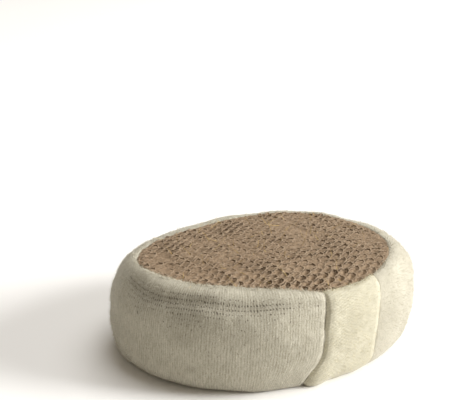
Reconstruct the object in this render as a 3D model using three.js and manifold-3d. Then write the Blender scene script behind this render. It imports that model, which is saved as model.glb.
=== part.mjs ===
// An oval exfoliating bath sponge: a foam pad in a cotton terry cover whose top panel is knitted sisal.
// Millimetres, +Z up. X runs along the oval, the joining panel faces -Y, and the sponge rests on z = 0.
import * as THREE from 'three';
import { mergeVertices } from 'three/addons/utils/BufferGeometryUtils.js';
import Module from 'manifold-3d';

// The oval
const HALF_LENGTH = 70;
const HALF_WIDTH = 51.5;
const SEGMENTS = 64;

// The side, as one section: a lower round, a short straight wall and a high shoulder that ends at the lip
const TOP = 41.9;                 // height of the lip, where the terry meets the sisal
const LIP_INSET = 12.5;           // the lip, measured in from the oval
const FOOT_INSET = 6;             // where the lower round touches the table, measured in from the oval
const FOOT_RISE = 17.4;           // height of the lower round
const SHOULDER_RISE = 19.6;       // height of the shoulder
const HEM_INSET = 16;             // inner edge of the terry hem underneath
const ARC_STEPS = 6;

// The layers
const CLOTH = 2.4;                // thickness of the terry and of the sisal
const GAP = 0.3;                  // between pieces that touch
const CROWN = 2.2;                // how far the pad swells in the middle of its top
const CROWN_STEPS = 4;

// The joining panel
const PANEL_LEFT = 0;
const PANEL_RIGHT = 27.4;
const PANEL_PROUD = 0.4;          // the panel stands this far out of the band

// Hand-sewn unevenness: each term is [waves round the oval, cosine part, sine part]
const OVAL_WAVE = [[3, -0.004, -0.006], [4, 0, -0.013]];
const LIP_WAVE = [[1, 0.2, 1], [2, 0.6, 0.8], [3, 2, -0.9]];
const TOP_WAVE = [[1, -0.3, -0.2], [2, 0.7, 0]];
const FOOT_WAVE = [[1, -1.2, 0.3]];

// Local unevenness of the lip: each term is [angle, width, amount]
const LIP_DENTS = [[4.92, 0.25, -1.7], [4.28, 0.25, 1]];
const TOP_DENTS = [[4.92, 0.25, -2.2], [4.28, 0.25, 0.5]];

// Sections are drawn at this radius from the axis, then each point is carried to its place on the oval
const DRAWN_RADIUS = 60;
const CENTRE_INSET = 22;          // further in than this, rings shrink evenly to the axis

const { Manifold, Mesh } = await Module().then((wasm) => { wasm.setup(); return wasm; });

const wave = (terms, angle) => terms.reduce(
  (sum, [n, c, s]) => sum + c * Math.cos(n * angle) + s * Math.sin(n * angle), 0);

const dent = (terms, angle) => terms.reduce(
  (sum, [at, width, amount]) => sum + amount * Math.exp((Math.cos(angle - at) - 1) / width ** 2), 0);

function oval(angle) {
  const swell = 1 + wave(OVAL_WAVE, angle);
  return new THREE.Vector2(HALF_LENGTH * swell * Math.cos(angle), HALF_WIDTH * swell * Math.sin(angle));
}

// The direction square to the oval, towards its middle.
function inward(angle) {
  const step = 0.001;
  const along = oval(angle + step).sub(oval(angle - step)).normalize();
  return new THREE.Vector2(-along.y, along.x);
}

// The place of a point that lies `inset` in from the oval at height z.
function place(angle, inset, z) {
  const high = THREE.MathUtils.clamp((z - TOP + SHOULDER_RISE) / SHOULDER_RISE, 0, 1);
  const low = THREE.MathUtils.clamp(1 - z / FOOT_RISE, 0, 1);
  const middle = Math.max(0, (inset - CENTRE_INSET) / (DRAWN_RADIUS - CENTRE_INSET));
  const stray = wave(LIP_WAVE, angle) + dent(LIP_DENTS, angle);
  const rise = wave(TOP_WAVE, angle) + dent(TOP_DENTS, angle);
  const lip = stray * high * THREE.MathUtils.clamp(inset / LIP_INSET, 0, 1);
  const foot = wave(FOOT_WAVE, angle) * low * THREE.MathUtils.clamp(inset / FOOT_INSET, 0, 1);
  const flat = oval(angle)
    .addScaledVector(inward(angle), Math.min(inset, CENTRE_INSET) + lip + foot)
    .multiplyScalar(1 - middle);
  return new THREE.Vector3(flat.x, flat.y, z + rise * high * (1 - middle));
}

// A closed solid from a section of [inset, z] points, swept round the oval.
function sweep(section) {
  const outline = section.map(([inset, z]) => new THREE.Vector2(DRAWN_RADIUS - inset, z));
  const turned = new THREE.LatheGeometry(outline, SEGMENTS);
  turned.deleteAttribute('normal');
  turned.deleteAttribute('uv');
  const solid = mergeVertices(turned, 0.001);
  const points = solid.attributes.position;
  for (let i = 0; i < points.count; i++) {
    const [side, z, front] = [points.getX(i), points.getY(i), points.getZ(i)];
    const at = place(Math.atan2(side, front), DRAWN_RADIUS - Math.hypot(side, front), z);
    points.setXYZ(i, at.x, at.y, at.z);
  }
  const corners = solid.index.array;
  const kept = [];
  for (let i = 0; i < corners.length; i += 3) {
    const [a, b, c] = corners.slice(i, i + 3);
    if (a !== b && b !== c && c !== a) kept.push(a, b, c);
  }
  solid.setIndex(kept);
  return solid;
}

function quarter(steps, point) {
  return Array.from({ length: steps + 1 }, (_, i) => point((i / steps) * Math.PI / 2));
}

// The side's section at a depth under the cloth's outer face, from the foot up to the lip.
function sideLine(depth) {
  const foot = quarter(ARC_STEPS, (t) => [
    FOOT_INSET - (FOOT_INSET - depth) * Math.sin(t),
    FOOT_RISE - (FOOT_RISE - depth) * Math.cos(t)]);
  const shoulder = quarter(ARC_STEPS, (t) => [
    LIP_INSET - (LIP_INSET - depth) * Math.cos(t),
    TOP - SHOULDER_RISE + (SHOULDER_RISE - depth) * Math.sin(t)]);
  return [...foot, ...shoulder];
}

// The swollen top, from `inset` to the axis, at a depth under the sponge's outer face.
function crownLine(inset, depth) {
  return Array.from({ length: CROWN_STEPS + 1 }, (_, i) => {
    const out = 1 - i / CROWN_STEPS;
    return [DRAWN_RADIUS - (DRAWN_RADIUS - inset) * out, TOP - depth + CROWN * (1 - out * out)];
  });
}

const ring = (proud) => sweep([
  [HEM_INSET, 0],
  ...sideLine(-proud).map(([inset, z]) => [inset, Math.max(z, 0)]),
  ...sideLine(CLOTH).reverse(),
  [HEM_INSET, CLOTH],
  [HEM_INSET, 0],
]);

const sisalFace = () => sweep([
  [DRAWN_RADIUS, TOP - CLOTH + CROWN],
  ...crownLine(LIP_INSET + GAP, CLOTH).reverse().slice(1),
  ...crownLine(LIP_INSET + GAP, 0),
]);

const backPanel = () => sweep([
  [DRAWN_RADIUS, 0],
  [HEM_INSET + GAP, 0],
  [HEM_INSET + GAP, CLOTH],
  [DRAWN_RADIUS, CLOTH],
]);

const foamCore = () => sweep([
  [DRAWN_RADIUS, CLOTH + GAP],
  ...sideLine(CLOTH + GAP),
  ...crownLine(LIP_INSET, CLOTH + GAP).slice(1),
]);

function toSolid(geometry) {
  return new Manifold(new Mesh({
    numProp: 3,
    vertProperties: new Float32Array(geometry.attributes.position.array),
    triVerts: new Uint32Array(geometry.index.array),
  }));
}

function toGeometry(solid) {
  const mesh = solid.getMesh();
  const geometry = new THREE.BufferGeometry();
  geometry.setAttribute('position', new THREE.BufferAttribute(mesh.vertProperties, 3));
  geometry.setIndex(new THREE.BufferAttribute(mesh.triVerts, 1));
  return geometry;
}

// A block over the front of the ring, between the panel's two seams and wider by `extra` on each side.
function seamBlock(extra) {
  const width = PANEL_RIGHT - PANEL_LEFT + 2 * extra;
  const depth = HALF_WIDTH * 2;
  const block = new THREE.BoxGeometry(width, depth, TOP * 3);
  block.translate((PANEL_LEFT + PANEL_RIGHT) / 2, -depth / 2, TOP / 2);
  block.deleteAttribute('normal');
  block.deleteAttribute('uv');
  return toSolid(mergeVertices(block, 0.001));
}

const sideBand = () => toGeometry(toSolid(ring(0)).subtract(seamBlock(GAP)));
const joiningPanel = () => toGeometry(toSolid(ring(PANEL_PROUD)).intersect(seamBlock(0)));

const cloth = (color) => new THREE.MeshStandardMaterial({ color, roughness: 0.95, metalness: 0 });

function piece(name, geometry, color) {
  geometry.computeVertexNormals();
  const mesh = new THREE.Mesh(geometry, cloth(color));
  mesh.name = name;
  return mesh;
}

const group = new THREE.Group();
group.add(
  piece('foam_core', foamCore(), 0xe9e2c9),
  piece('sisal_face', sisalFace(), 0x957b5e),
  piece('back_panel', backPanel(), 0xcfc8b2),
  piece('side_band', sideBand(), 0xcfc8b2),
  piece('joining_panel', joiningPanel(), 0xe2dac0),
);

// The origin is the middle of the underside.
const middle = new THREE.Box3().setFromObject(group).getCenter(new THREE.Vector3());
group.position.set(-middle.x, -middle.y, 0);

export default group;
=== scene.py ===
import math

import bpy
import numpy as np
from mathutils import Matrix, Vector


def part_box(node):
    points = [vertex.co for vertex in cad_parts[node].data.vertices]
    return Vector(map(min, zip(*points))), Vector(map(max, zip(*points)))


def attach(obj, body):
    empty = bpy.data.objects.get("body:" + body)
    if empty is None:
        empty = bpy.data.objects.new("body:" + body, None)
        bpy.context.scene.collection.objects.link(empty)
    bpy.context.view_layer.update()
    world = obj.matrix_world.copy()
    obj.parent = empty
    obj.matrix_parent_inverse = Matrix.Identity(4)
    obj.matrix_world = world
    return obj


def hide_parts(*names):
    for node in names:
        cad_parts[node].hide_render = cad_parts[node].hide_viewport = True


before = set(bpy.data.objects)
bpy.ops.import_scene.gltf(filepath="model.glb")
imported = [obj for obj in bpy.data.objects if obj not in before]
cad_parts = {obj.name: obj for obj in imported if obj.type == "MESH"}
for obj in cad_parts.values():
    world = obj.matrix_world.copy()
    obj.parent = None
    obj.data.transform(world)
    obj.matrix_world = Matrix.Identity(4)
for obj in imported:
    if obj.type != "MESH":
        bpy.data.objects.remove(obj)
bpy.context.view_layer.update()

# %% [markdown]
# # An oval bath sponge with a knitted sisal face
# A foam pad in a cotton terry cover. One side of the cover is knitted from coarse sisal yarn, for scrubbing.
# A long terry strip runs round the side, and a short joining panel closes it. Everything is in metres, in
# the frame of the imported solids. The sizes could be typed in again here, but they are read from those
# solids wherever one gives them, so that the finished pieces always fit the solids they replace.

MM = 0.001
band_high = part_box("side_band")[1]
core_low, core_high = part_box("foam_core")
panel_low, panel_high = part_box("joining_panel")
face_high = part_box("sisal_face")[1]
cover_depth = band_high.x - core_high.x          # from the cover's outer face to the foam
oval_low = core_low - Vector((cover_depth, cover_depth, 0))
oval_high = core_high + Vector((cover_depth, cover_depth, 0))
print("the oval is", [round(v / MM, 1) for v in (oval_high - oval_low)[:2]], "mm")

# %% [markdown]
# ## The camera
# A 79 mm lens, about 41 cm away and 21 degrees above the table, looking at the sponge from the left of its
# joining panel. A wider lens from nearby would fill the frame as well, but it would stretch the near end.
# The sponge sits low and right in the frame, so the camera aims above it and to its left.

# %% Camera
AIM = Vector((-21.9, -0.1, 67.5)) * MM
CAMERA_AZIMUTH, CAMERA_ELEVATION, CAMERA_ROLL = (math.radians(a) for a in (-28.14, 21.08, 2.19))
CAMERA_DISTANCE = 412.5 * MM
LENS, SENSOR_WIDTH = 78.84, 36.0      # millimetres, as the camera's own settings are


def make_camera():
    data = bpy.data.cameras.new("camera")
    data.sensor_width = SENSOR_WIDTH
    data.lens = LENS
    data.clip_start, data.clip_end = 0.02, 10.0
    camera = bpy.data.objects.new("camera", data)
    bpy.context.scene.collection.objects.link(camera)
    back = Vector((
        math.sin(CAMERA_AZIMUTH) * math.cos(CAMERA_ELEVATION),
        -math.cos(CAMERA_AZIMUTH) * math.cos(CAMERA_ELEVATION),
        math.sin(CAMERA_ELEVATION)))
    turn = back.to_track_quat("Z", "Y").to_matrix().to_4x4() @ Matrix.Rotation(CAMERA_ROLL, 4, "Z")
    camera.matrix_world = Matrix.Translation(AIM + back * CAMERA_DISTANCE) @ turn
    bpy.context.scene.camera = camera
    return camera


camera = make_camera()
print("camera at", [round(c, 3) for c in camera.matrix_world.translation])

# %% [markdown]
# ## Floor and light
# A plain pale floor and soft light. The strongest light is a broad one from the right, low enough to rake
# over the knit; a wide soft one high above opens the shadow on the floor, and a warm dim world fills the
# rest, which keeps the knit's hollows brown and not black. One light alone would be simpler, but it would
# leave the left end of the cover in the dark.

# %% Small helpers for nodes and colours
def linear(code):
    """An sRGB hex colour as linear RGBA."""
    parts = [int(code[i:i + 2], 16) / 255 for i in (1, 3, 5)]
    return [c / 12.92 if c <= 0.04045 else ((c + 0.055) / 1.055) ** 2.4 for c in parts] + [1.0]


def feed(tree, node, inputs):
    """Sets or links inputs: a list in the node's order, or {name: value}. A value is a constant, a socket
    or a whole node, whose first output in use is linked."""
    for key, value in inputs.items() if isinstance(inputs, dict) else enumerate(inputs):
        if isinstance(value, bpy.types.Node):
            value = next(output for output in value.outputs if output.enabled)
        if isinstance(value, bpy.types.NodeSocket):
            tree.links.new(value, node.inputs[key])
        else:
            node.inputs[key].default_value = value


def add(tree, kind, inputs=(), **settings):
    """Adds a node with its own settings and its inputs, and returns it."""
    node = tree.nodes.new(kind)
    for key, value in settings.items():
        setattr(node, key, value)
    feed(tree, node, inputs)
    return node


def finish_of(name, constants):
    """A new material, its node tree and its Principled node, with the constants set on the shader."""
    material = bpy.data.materials.new(name)
    material.use_nodes = True
    shader = material.node_tree.nodes["Principled BSDF"]
    feed(material.node_tree, shader, constants)
    return material, material.node_tree, shader


print("a mid grey, made linear:", round(linear("#808080")[0], 3))

# %% Floor and lights
def make_floor():
    """A large square of matt white paper, which gives the light back softly."""
    material = finish_of("matt_white_paper", {"Roughness": 0.8, "Base Color": linear("#fbfaf8")})[0]
    half = 3.0
    corners = [(-half, -half, 0), (half, -half, 0), (half, half, 0), (-half, half, 0)]
    mesh = bpy.data.meshes.new("floor")
    mesh.from_pydata(corners, [], [(0, 1, 2, 3)])
    mesh.materials.append(material)
    floor = bpy.data.objects.new("floor", mesh)
    bpy.context.scene.collection.objects.link(floor)


def make_light(name, azimuth, elevation, distance, size, power, colour):
    """A soft square light that faces the sponge. The azimuth is counted as the camera's is."""
    data = bpy.data.lights.new(name, "AREA")
    data.size = size
    data.energy = power
    data.color = linear(colour)[:3]
    light = bpy.data.objects.new(name, data)
    bpy.context.scene.collection.objects.link(light)
    a, e = math.radians(azimuth), math.radians(elevation)
    back = Vector((math.sin(a) * math.cos(e), -math.cos(a) * math.cos(e), math.sin(e)))
    turn = back.to_track_quat("Z", "Y").to_matrix().to_4x4()
    light.matrix_world = Matrix.Translation(back * distance) @ turn


def make_world(colour, strength):
    world = bpy.data.worlds.new("studio")
    world.use_nodes = True
    background = world.node_tree.nodes["Background"]
    background.inputs["Color"].default_value = linear(colour)
    background.inputs["Strength"].default_value = strength
    bpy.context.scene.world = world


make_floor()
make_light("key_right", 62, 24, 2.2, 0.9, 75, "#ffffff")
make_light("top_soft", 105, 74, 2.4, 1.8, 36, "#ffffff")
make_world("#f0e4d2", 0.29)
bpy.context.scene.view_settings.view_transform = "Standard"

# %% [markdown]
# ## The oval and its side
# Every piece of the cover follows one oval. It could be a curve drawn by hand, but a formula keeps all the
# pieces together: a plain ellipse with a little hand-sewn unevenness. The side is one section swept round
# it: a round foot, a short straight wall, and a high shoulder that ends at the lip. The lip, where the
# terry is sewn to the sisal, wanders in and out by about two millimetres.

# %% Oval, lip and section
# Each wave is (waves round the oval, cosine part, sine part), and each dent is (angle, width, amount).
OVAL_WAVE = [(3, -0.004, -0.006), (4, 0.0, -0.013)]
LIP_WAVE = [(1, 0.2 * MM, 1.0 * MM), (2, 0.6 * MM, 0.8 * MM), (3, 2.0 * MM, -0.9 * MM)]
TOP_WAVE = [(1, -0.3 * MM, -0.2 * MM), (2, 0.7 * MM, 0.0)]
FOOT_WAVE = [(1, -1.2 * MM, 0.3 * MM)]
LIP_INSET = 12.5 * MM
FOOT_INSET = 6.0 * MM
FOOT_RISE = 17.4 * MM
SHOULDER_RISE = 19.6 * MM
HEM_INSET = 16.0 * MM
LIP_DENTS = [(4.92, 0.25, -1.7 * MM), (4.28, 0.25, 1.0 * MM)]
TOP_DENTS = [(4.92, 0.25, -2.2 * MM), (4.28, 0.25, 0.5 * MM)]


def wave(terms, angle):
    return sum(c * np.cos(n * angle) + s * np.sin(n * angle) for n, c, s in terms)


def dent(terms, angle):
    return sum(amount * np.exp((np.cos(angle - at) - 1) / width**2) for at, width, amount in terms)


def lip_stray(angle):
    """How far the lip wanders inward, and how far the top rises, round the oval."""
    return wave(LIP_WAVE, angle) + dent(LIP_DENTS, angle), wave(TOP_WAVE, angle) + dent(TOP_DENTS, angle)


ALL_ROUND = np.linspace(0, 2 * np.pi, 721)
LIP_HEIGHT = band_high.z - lip_stray(ALL_ROUND)[1].max()
CROWN = face_high.z - LIP_HEIGHT


def unit_oval(angle):
    swell = 1 + wave(OVAL_WAVE, angle)
    return np.stack([swell * np.cos(angle), swell * np.sin(angle)], axis=-1)


UNIT_LOW, UNIT_HIGH = unit_oval(ALL_ROUND).min(0), unit_oval(ALL_ROUND).max(0)
OVAL_SCALE = np.array((oval_high - oval_low)[:2]) / (UNIT_HIGH - UNIT_LOW)
OVAL_SHIFT = np.array(oval_low[:2]) - UNIT_LOW * OVAL_SCALE


def oval(angle):
    """Points of the oval, the sponge's widest outline."""
    return unit_oval(angle) * OVAL_SCALE + OVAL_SHIFT


def inward(angle):
    """Unit vectors square to the oval, towards its middle."""
    step = 0.001
    along = oval(angle + step) - oval(angle - step)
    along /= np.linalg.norm(along, axis=-1, keepdims=True)
    return np.stack([-along[..., 1], along[..., 0]], axis=-1)


def place(angle, inset, z):
    """Points at an inset from the oval and a height, for arrays of one shape."""
    high = np.clip((z - LIP_HEIGHT + SHOULDER_RISE) / SHOULDER_RISE, 0, 1)
    low = np.clip(1 - z / FOOT_RISE, 0, 1)
    stray, rise = lip_stray(angle)
    lip = stray * high * np.clip(inset / LIP_INSET, 0, 1)
    foot = wave(FOOT_WAVE, angle) * low * np.clip(inset / FOOT_INSET, 0, 1)
    plan = oval(angle) + inward(angle) * (inset + lip + foot)[..., None]
    return np.concatenate([plan, (z + rise * high)[..., None]], axis=-1)


print("lip at", round(LIP_HEIGHT / MM, 2), "mm, crown", round(CROWN / MM, 2), "mm")

# %% [markdown]
# ## Cloth as a grid
# The cover's cloth is pulled tight over the pad. It could be draped there by a cloth simulation, but a tight
# cover takes the pad's shape anyway, and its ribs and seams have to lie in known places. So each strip is a
# grid: one direction runs round the oval and the other up the section. The outer face is pushed in and out
# along its normal by a height map in real millimetres (ribs, seams, creases, slack), and an inner face
# follows it at the cloth's thickness, so the strip is a closed solid.

# %% The section
HEM_HEIGHT = 0.15 * MM              # the smooth section stays this far above the table, under its ribs
LIP_ROLL = 0.85 * MM                # radius of the rolled edge at the lip
LIP_ROLL_TURN = 0.62 * math.pi      # how far round it rolls


def section_line(step):
    """The outer section from the hem underneath up to the roll of the lip, as even steps of (inset, z)."""
    quarter = np.linspace(0, np.pi / 2, 40)
    roll = np.linspace(0, LIP_ROLL_TURN, 14)
    hem = np.stack([np.linspace(HEM_INSET, FOOT_INSET + 0.2 * MM, 12), np.full(12, HEM_HEIGHT)], -1)
    foot = np.stack([
        FOOT_INSET * (1 - np.sin(quarter)),
        HEM_HEIGHT + (FOOT_RISE - HEM_HEIGHT) * (1 - np.cos(quarter))], -1)
    shoulder = np.stack([
        LIP_INSET * (1 - np.cos(quarter)), LIP_HEIGHT - SHOULDER_RISE * (1 - np.sin(quarter))], -1)
    lip = np.stack([
        LIP_INSET + LIP_ROLL * np.sin(roll), LIP_HEIGHT - LIP_ROLL * (1 - np.cos(roll))], -1)
    line = np.concatenate([hem, foot, shoulder, lip[1:]])
    along = np.concatenate([[0], np.cumsum(np.linalg.norm(np.diff(line, axis=0), axis=1))])
    keep = np.concatenate([[True], np.diff(along) > 1e-7])
    line, along = line[keep], along[keep]
    even = np.linspace(0, along[-1], int(round(along[-1] / step)) + 1)
    return np.stack([np.interp(even, along, line[:, k]) for k in (0, 1)], -1), even


profile, profile_length = section_line(0.68 * MM)
TOP_LENGTH = profile_length[-1]
print("section:", len(profile), "points,", round(TOP_LENGTH / MM, 1), "mm from the hem to the lip")

# %% Height maps
def bump(x, centre, width):
    return np.exp(-(((x - centre) / width) ** 2))


def smooth(x, low, high):
    t = np.clip((x - low) / (high - low), 0, 1)
    return t * t * (3 - 2 * t)


def slack(u, v, wavelength, seed, waves=14):
    """A soft random height map, about -1 to 1, whose swells are about one wavelength across."""
    dice = np.random.default_rng(seed)
    total = np.zeros(np.broadcast(u, v).shape)
    for _ in range(waves):
        heading = dice.uniform(0, 2 * np.pi)
        k = 2 * np.pi / (wavelength * dice.uniform(0.7, 1.6))
        total += np.sin(k * (u * np.cos(heading) + v * np.sin(heading)) + dice.uniform(0, 2 * np.pi))
    return total / math.sqrt(waves / 2) * 0.6


print("slack at one place:", round(float(slack(0.0, 0.0, 20 * MM, 1)), 2))

# %% Meshes from grids
def normals_of(points):
    """Unit normals of a grid of points [row, column, xyz]."""
    rows, columns = np.gradient(points, axis=0), np.gradient(points, axis=1)
    normal = np.cross(columns, rows)
    return normal / np.linalg.norm(normal, axis=-1, keepdims=True)


def new_piece(name, points, faces, material, attributes=None):
    """A smooth mesh object with per-vertex attributes: numbers, or vectors of three."""
    mesh = bpy.data.meshes.new(name)
    mesh.from_pydata([tuple(p) for p in points], [], faces)
    for key, values in (attributes or {}).items():
        kind, field = ("FLOAT", "value") if values.ndim == 1 else ("FLOAT_VECTOR", "vector")
        layer = mesh.attributes.new(key, kind, "POINT")
        layer.data.foreach_set(field, values.astype(np.float32).ravel())
    mesh.materials.append(material)
    mesh.polygons.foreach_set("use_smooth", [True] * len(mesh.polygons))
    mesh.update()
    piece = bpy.data.objects.new(name, mesh)
    bpy.context.scene.collection.objects.link(piece)
    return piece


def triangles_of(piece):
    piece.data.calc_loop_triangles()
    return len(piece.data.loop_triangles)


def strip(name, outer, thickness, every, material, attributes):
    """A closed strip: the outer grid, an inner face at the cloth's thickness, and the edges and ends.
    The rows run up the section and the columns round the oval. The inner face, which never shows, keeps
    one row in a few, so that its triangles stay few."""
    rows, columns = outer.shape[:2]
    normal = normals_of(outer)
    kept = list(range(0, rows, every))
    kept = kept if kept[-1] == rows - 1 else kept[:-1] + [rows - 1]
    inner = outer[kept] - normal[kept] * thickness
    points = np.concatenate([outer.reshape(-1, 3), inner.reshape(-1, 3)])
    first = rows * columns
    faces = []
    for i in range(rows - 1):
        a = np.arange(i * columns, (i + 1) * columns - 1)
        faces += np.stack([a, a + 1, a + 1 + columns, a + columns], -1).tolist()
    for i in range(len(kept) - 1):
        a = first + np.arange(i * columns, (i + 1) * columns - 1)
        faces += np.stack([a, a + columns, a + 1 + columns, a + 1], -1).tolist()
    low, high = np.arange(columns - 1), first + np.arange(columns - 1)
    faces += np.stack([low, high, high + 1, low + 1], -1).tolist()
    low, high = low + (rows - 1) * columns, high + (len(kept) - 1) * columns
    faces += np.stack([low, low + 1, high + 1, high], -1).tolist()
    for i in range(len(kept) - 1):
        edge = [r * columns for r in range(kept[i], kept[i + 1] + 1)]
        start = [*edge, first + (i + 1) * columns, first + i * columns]
        faces.append(start)
        faces.append([v + columns - 1 for v in reversed(start)])
    full = {
        key: np.concatenate([values.reshape(first, -1), values[kept].reshape(len(kept) * columns, -1)])
        for key, values in attributes.items()}
    full["nap"][first:] = 0
    flat = {key: values[:, 0] if values.shape[1] == 1 else values for key, values in full.items()}
    return new_piece(name, points, faces, material, flat)


# %% [markdown]
# ## Terry cloth
# Cotton terry: a fine knit whose wales run up the side, with a short looped pile that scatters light. The
# pile could be hair on every loop, but that would be millions of hairs, so the ribs and seams are in the
# mesh, the pile is a bump map with a light and a dark fleck to each loop, painted light on the threads and
# painted shade in the hollows, and only the longest fibre ends are real. Cotton has no shine: the roughness
# is high, with a soft sheen at the edges where fibres stand up.

# %% Terry finishes
WALE = 1.1 * MM        # a rib and the valley beside it, a little coarser than real ones so that they show
PANEL_ROW = 1.25 * MM  # the panel's rows, which run on the slant
THREAD = 0.8 * MM      # the threads' flecks, drawn out along the ribs
PILE = 0.45 * MM       # the pile's loops
HOLE_PITCH = 1.2 * MM  # open holes along the crease
HOLE_ROW = 1.9 * MM    # from one row of holes to the next


def terry_finish(name, light, dark, hole_shade, wale, slant=0.0):
    """Knitted cotton terry. The colours are the lit pile, the painted shade of the hollows between threads,
    and the painted shade inside the open holes.
    """
    material, tree, shader = finish_of(name, {
        "Roughness": 0.95, "Sheen Weight": 0.25, "Sheen Roughness": 0.5, "Specular IOR Level": 0.2})
    cloth = add(tree, "ShaderNodeAttribute", attribute_name="cloth").outputs["Vector"]
    marks = add(tree, "ShaderNodeAttribute", attribute_name="marks").outputs["Vector"]
    mark = add(tree, "ShaderNodeSeparateXYZ", [marks]).outputs
    place_in = add(tree, "ShaderNodeTexCoord").outputs["Object"]

    # Wavering ribs, threads drawn out along them, and round loops of pile. Where the key light falls full, on
    # the band's end by the panel and on the panel's right part, their bumps and their painted shade are
    # faded.
    turned = add(tree, "ShaderNodeMapping", {"Vector": cloth, "Rotation": (0, 0, slant)})
    across = add(tree, "ShaderNodeSeparateXYZ", [turned]).outputs["X"]
    waver = add(tree, "ShaderNodeTexNoise", {"Vector": turned, "Scale": 1 / (3 * MM)})
    waver = add(tree, "ShaderNodeMath", [waver, 4.0], operation="MULTIPLY")
    turn = add(tree, "ShaderNodeMath", [across, 2 * math.pi / wale, waver], operation="MULTIPLY_ADD")
    ribs = add(tree, "ShaderNodeMath", [turn], operation="COSINE")
    long_way = add(tree, "ShaderNodeMapping", {"Vector": turned, "Scale": (1.0, 0.22, 1.0)})
    threads = add(tree, "ShaderNodeTexNoise", {"Vector": long_way, "Scale": 1 / THREAD})
    threads = add(tree, "ShaderNodeMapRange", [threads, 0.3, 0.7, -0.3, 0.3])
    pile = add(tree, "ShaderNodeTexNoise", {"Vector": place_in, "Scale": 1 / PILE, "Detail": 3.0})
    pile = add(tree, "ShaderNodeMapRange", [pile, 0.3, 0.7, -0.4, 0.4])
    rough = add(tree, "ShaderNodeMath", [ribs, 0.2, threads], operation="MULTIPLY_ADD")
    rough = add(tree, "ShaderNodeMath", [rough, pile], operation="ADD")
    fleck_strength = add(tree, "ShaderNodeMapRange", [mark["Z"], 0.0, 1.0, 1.0, 0.4])
    fleck = add(tree, "ShaderNodeMath", [rough, fleck_strength], operation="MULTIPLY")

    # The fleck and broad soft patches give the tone: the lit colour on the threads, painted shade in the
    # hollows between them. Painted shade darkens the cloth at the crease.
    patches = add(tree, "ShaderNodeTexNoise", {"Vector": place_in, "Scale": 1 / (14 * MM), "Detail": 3.0})
    patches = add(tree, "ShaderNodeMapRange", [patches, 0.3, 0.7, -0.12, 0.12])
    tone = add(tree, "ShaderNodeMapRange", [fleck, -0.7, 0.7, 0.0, 1.0])
    tone = add(tree, "ShaderNodeMath", [tone, patches], operation="ADD")
    lit = add(tree, "ShaderNodeMix", {
        "Factor": tone, "A": linear(dark), "B": linear(light)}, data_type="RGBA")
    crease_shade = add(tree, "ShaderNodeMapRange", [mark["X"], 0.0, 1.0, 0.0, 0.22])
    base = add(tree, "ShaderNodeMix", {
        "Factor": crease_shade, "A": lit, "B": linear(hole_shade)}, data_type="RGBA")

    # Open holes: a dot where a column meets a row, kept by chance where the cloth is marked for holes, and
    # painted dark: the shade inside each hole.
    u = add(tree, "ShaderNodeSeparateXYZ", [cloth]).outputs["X"]
    jitter = add(tree, "ShaderNodeTexNoise", {"Vector": cloth, "Scale": 1 / (1.6 * MM)})
    jitter = add(tree, "ShaderNodeMath", [jitter, 7.0], operation="MULTIPLY")
    lines = []
    for length, pitch, low, high in ((u, HOLE_PITCH, 0.1, 0.7), (mark["Y"], HOLE_ROW, 0.2, 0.8)):
        turn = add(tree, "ShaderNodeMath", [length, 2 * math.pi / pitch, jitter], operation="MULTIPLY_ADD")
        line = add(tree, "ShaderNodeMath", [turn], operation="COSINE")
        lines.append(add(tree, "ShaderNodeMapRange", [line, low, high, 0.0, 1.0]))
    dots = add(tree, "ShaderNodeMath", lines, operation="MULTIPLY")
    chance = add(tree, "ShaderNodeTexNoise", {"Vector": place_in, "Scale": 1 / (1.4 * MM), "Detail": 1.0})
    chance = add(tree, "ShaderNodeMapRange", [chance, 0.3, 0.7, 0.0, 1.0])
    kept = add(tree, "ShaderNodeMath", [mark["X"], chance], operation="SUBTRACT")
    kept = add(tree, "ShaderNodeMapRange", [kept, -0.25, 0.25, 0.0, 0.9])
    holes = add(tree, "ShaderNodeMath", [dots, kept], operation="MULTIPLY")
    colour = add(tree, "ShaderNodeMix", {
        "Factor": holes, "A": base, "B": linear(hole_shade)}, data_type="RGBA")

    height = add(tree, "ShaderNodeMath", [holes, -2.0, fleck], operation="MULTIPLY_ADD")
    bumps = add(tree, "ShaderNodeBump", {"Height": height, "Strength": 0.6, "Distance": 0.11 * MM})
    feed(tree, shader, {"Base Color": colour, "Normal": bumps})
    return material


band_terry = terry_finish("cream_cotton_terry", "#c4bfae", "#948e7c", "#4f4639", WALE)
panel_terry = terry_finish(
    "warm_cream_cotton_terry", "#c7c2ae", "#aba58e", "#7a715c", PANEL_ROW, math.radians(60))
print("terry finishes:", band_terry.name, panel_terry.name)

# %% [markdown]
# ## The side band
# A single strip of terry about 36 cm long that starts and ends at the joining panel. It could be a swept
# curve with a flat section, but a grid lets its two ends stray from the upright, as sewn ends do. Its ribs
# are modelled: two columns of the grid to each wale. Below the lip lies a crease, where the seam inside
# pulls the cloth in, with rows of small open holes. The end at the panel's left seam rolls into the seam.

# %% Band sizes
PANEL_LEFT, PANEL_RIGHT = panel_low.x, panel_high.x
CLOTH_THICKNESS = 1.3 * MM
LOWEST = 0.02 * MM            # nothing goes below this, so that the sponge rests flat
SEAM_TUCK = 0.6 * MM          # how far the band's ends reach under the panel
RIB_HEIGHT = 0.045 * MM
SLACK_HEIGHT = 0.35 * MM      # broad swells of loose cloth
FINE_SLACK_HEIGHT = 0.06 * MM
CREASE_DEPTH = 0.45 * MM
CREASE_WIDTH = 2.4 * MM
PUFF_HEIGHT = 0.35 * MM       # the soft roll between the crease and the lip
SCALLOP = 0.28 * MM           # how far each stitch pulls the lip in and out
STITCH = 3.3 * MM             # from one stitch of the lip to the next
LEFT_ROLL = 1.0 * MM          # how deep the band's end rolls into the left seam
RIGHT_ROLL = 0.4 * MM         # and its other end, under the panel
print("panel from", round(PANEL_LEFT / MM, 1), "to", round(PANEL_RIGHT / MM, 1), "mm")

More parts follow.
